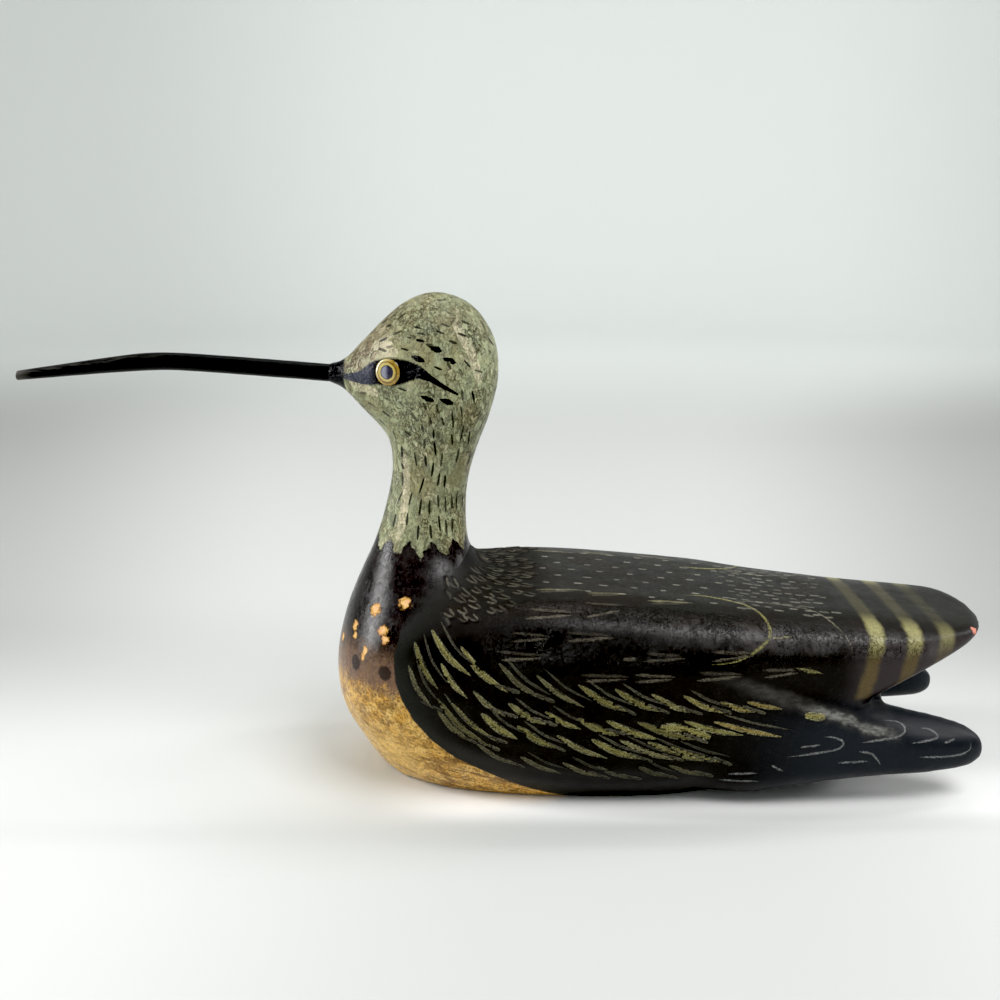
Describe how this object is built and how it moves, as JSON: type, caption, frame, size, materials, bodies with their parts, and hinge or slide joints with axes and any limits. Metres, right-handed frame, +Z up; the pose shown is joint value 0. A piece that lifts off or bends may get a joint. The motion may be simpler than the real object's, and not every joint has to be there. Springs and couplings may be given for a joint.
{
  "type": "shorebird decoy",
  "caption": "Painted carved curlew decoy resting on a flat underside, with a raised neck, a long slender bill let into the face, set-in eyes, a broad tail and two folded wing tips below it.",
  "frame": {"origin": "on the sawn flat underside, in the middle plane of the bird, below its nape", "axes": "+Z up, +X towards the tail, bill towards -X, +Y to the bird's right side"},
  "size_m": [0.4678, 0.1172, 0.2417],
  "materials": {
    "painted_wood": "old hand-painted oil colours, satin, crackled and rubbed",
    "painted_bill": "black paint, half gloss, worn grey along the top and bare at the tip",
    "eye_glass": "polished, mustard ring round a dark grey-blue pupil"
  },
  "bodies": {
    "root": {"carving": "painted_wood", "bill": "painted_bill", "eye_left": "eye_glass", "eye_right": "eye_glass"}
  },
  "joints": []
}
